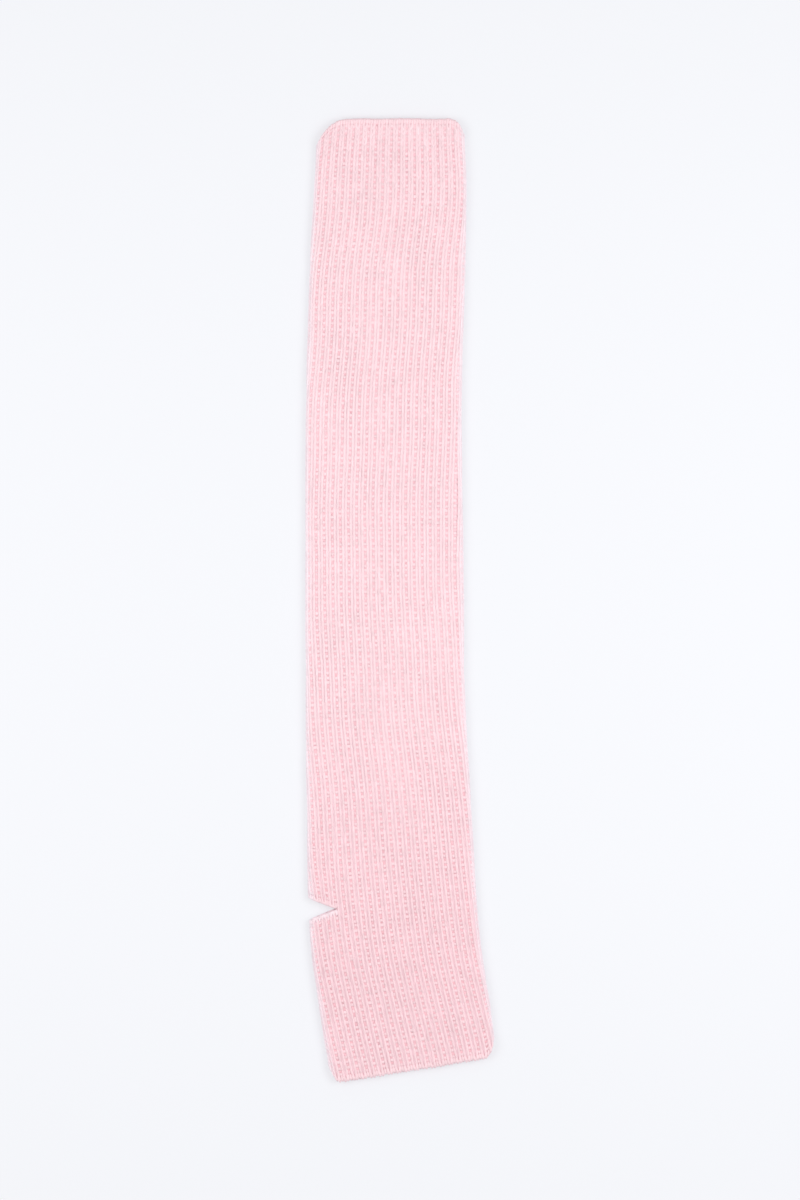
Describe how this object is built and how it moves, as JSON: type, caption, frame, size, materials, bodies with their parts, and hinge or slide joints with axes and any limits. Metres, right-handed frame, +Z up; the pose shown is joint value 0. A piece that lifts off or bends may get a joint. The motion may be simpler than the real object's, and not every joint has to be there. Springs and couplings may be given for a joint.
{
  "type": "rib-knit leg warmer with a heel slot",
  "caption": "Long chunky rib-knit tube for the lower leg, laid out flat, open at both ends, with a gaping heel slot across its left fold near the foot end.",
  "frame": {"origin": "bottom centre of the flat leg warmer's bounding box, on the surface that it lies on", "axes": "+X across the tube, away from the fold with the heel slot; +Y along the tube from the foot edge to the knee edge; +Z up from the surface"},
  "size_m": [0.1316, 0.669, 0.0064],
  "materials": {
    "rib_knit": "pale pink brushed acrylic yarn, 1x1 rib knit, matt with a soft fuzz"
  },
  "bodies": {
    "root": {"leg_tube": "rib_knit"}
  },
  "joints": []
}
